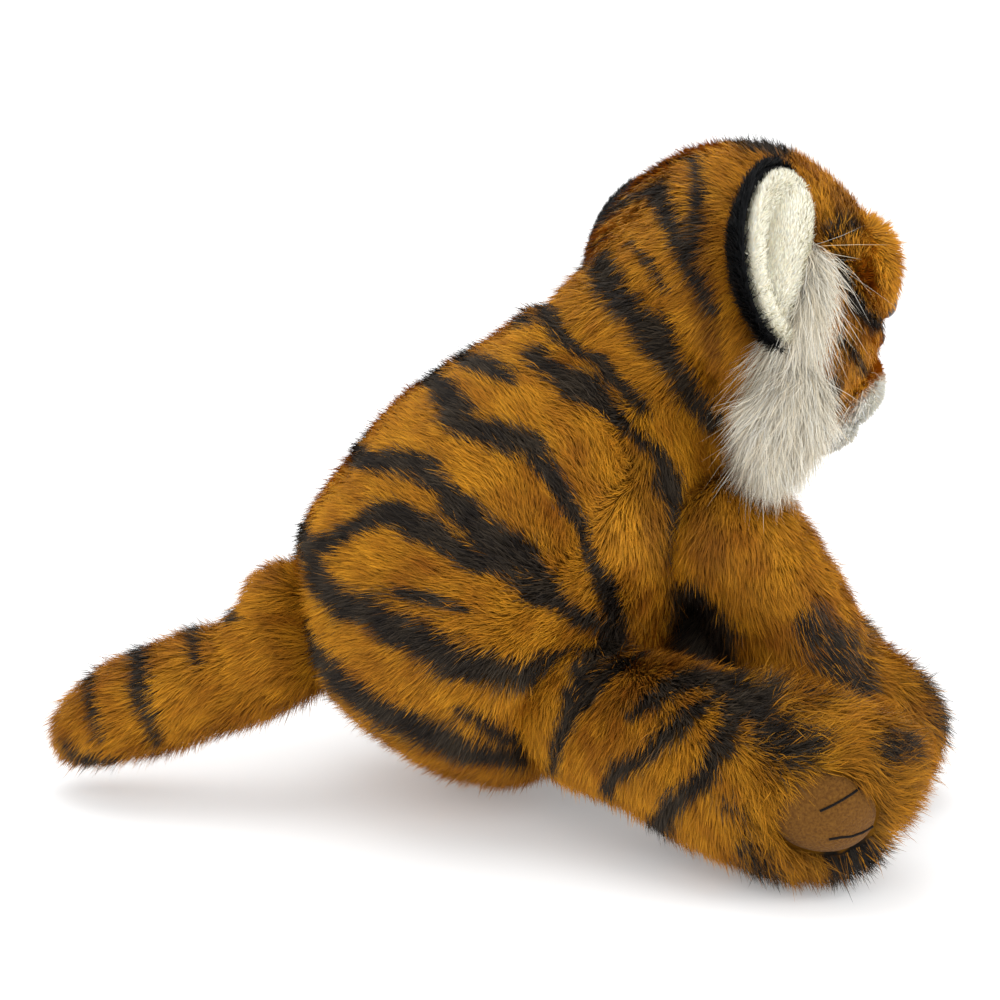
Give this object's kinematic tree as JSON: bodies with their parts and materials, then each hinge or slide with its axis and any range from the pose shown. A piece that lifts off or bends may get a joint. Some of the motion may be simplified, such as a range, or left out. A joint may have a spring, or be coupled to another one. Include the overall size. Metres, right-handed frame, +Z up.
{
  "type": "plush tiger",
  "caption": "Floppy long-pile stuffed tiger cub sitting up, with its head turned to one side, soft swinging limbs, tail and ears, and suede sole pads.",
  "frame": {"origin": "on the floor, at the middle of the flat patch under the rump", "axes": "+X forward, the way the body faces; +Y to the toy's own left; +Z up"},
  "size_m": [0.3697, 0.3208, 0.2666],
  "materials": {
    "orange_plush": "long pile",
    "black_plush": "short pile",
    "cream_plush": "long pile",
    "white_plush": "short pile",
    "filling": "loose fibre",
    "pellets": "woven bag",
    "suede": "napped",
    "nose_fabric": "smooth",
    "eye_plastic": "gloss",
    "washer_plastic": "matte"
  },
  "bodies": {
    "torso": {"torso_skin": "orange_plush", "torso_stuffing": "filling", "pellet_pouch": "pellets"},
    "head": {"head_skin": "orange_plush", "head_stuffing": "filling", "muzzle": "white_plush", "chin": "white_plush", "nose": "nose_fabric", "right_eye": "eye_plastic", "right_eye_washer": "washer_plastic", "right_brow": "orange_plush", "right_cheek_ruff": "cream_plush", "left_eye": "eye_plastic", "left_eye_washer": "washer_plastic", "left_brow": "orange_plush", "left_cheek_ruff": "cream_plush"},
    "tail": {"tail_skin": "orange_plush", "tail_stuffing": "filling"},
    "right_ear": {"right_ear_back": "black_plush", "right_ear_lining": "cream_plush"},
    "right_front_leg": {"right_front_leg_skin": "orange_plush", "right_front_leg_stuffing": "filling", "right_front_paw_pad": "suede"},
    "right_hind_leg": {"right_hind_leg_skin": "orange_plush", "right_hind_leg_stuffing": "filling", "right_hind_foot_pad": "suede"},
    "left_ear": {"left_ear_back": "black_plush", "left_ear_lining": "cream_plush"},
    "left_front_leg": {"left_front_leg_skin": "orange_plush", "left_front_leg_stuffing": "filling", "left_front_paw_pad": "suede"},
    "left_hind_leg": {"left_hind_leg_skin": "orange_plush", "left_hind_leg_stuffing": "filling", "left_hind_foot_pad": "suede"}
  },
  "joints": [
    {"name": "head_turn", "type": "hinge", "parent": "torso", "child": "head", "pos_m": [0.10275, 0, 0.159], "axis": [0, 0, 1], "range_deg": [-32, 2]},
    {"name": "tail_swing", "type": "hinge", "parent": "torso", "child": "tail", "pos_m": [-0.06514, 0.00139, 0.06608], "axis": [0, 0, 1], "range_deg": [-20, 20]},
    {"name": "right_ear_fold", "type": "hinge", "parent": "head", "child": "right_ear", "pos_m": [0.12023, -0.05054, 0.22531], "axis": [0.145, 0.3938, 0.9077], "range_deg": [-6, 6], "stiffness_Nm_per_rad": 0.02},
    {"name": "right_front_leg_lift", "type": "hinge", "parent": "torso", "child": "right_front_leg", "pos_m": [0.106, -0.041, 0.112], "axis": [0, -1, 0], "range_deg": [0, 24]},
    {"name": "right_hind_leg_splay", "type": "hinge", "parent": "torso", "child": "right_hind_leg", "pos_m": [0.044, -0.056, 0.05], "axis": [0, 0, -1], "range_deg": [-3, 12]},
    {"name": "left_ear_fold", "type": "hinge", "parent": "head", "child": "left_ear", "pos_m": [0.08781, 0.06144, 0.21053], "axis": [0.2543, -0.0141, 0.967], "range_deg": [-6, 6], "stiffness_Nm_per_rad": 0.02},
    {"name": "left_front_leg_lift", "type": "hinge", "parent": "torso", "child": "left_front_leg", "pos_m": [0.106, 0.041, 0.112], "axis": [0, -1, 0], "range_deg": [0, 24]},
    {"name": "left_hind_leg_splay", "type": "hinge", "parent": "torso", "child": "left_hind_leg", "pos_m": [0.044, 0.056, 0.05], "axis": [0, 0, 1], "range_deg": [-3, 12]}
  ]
}
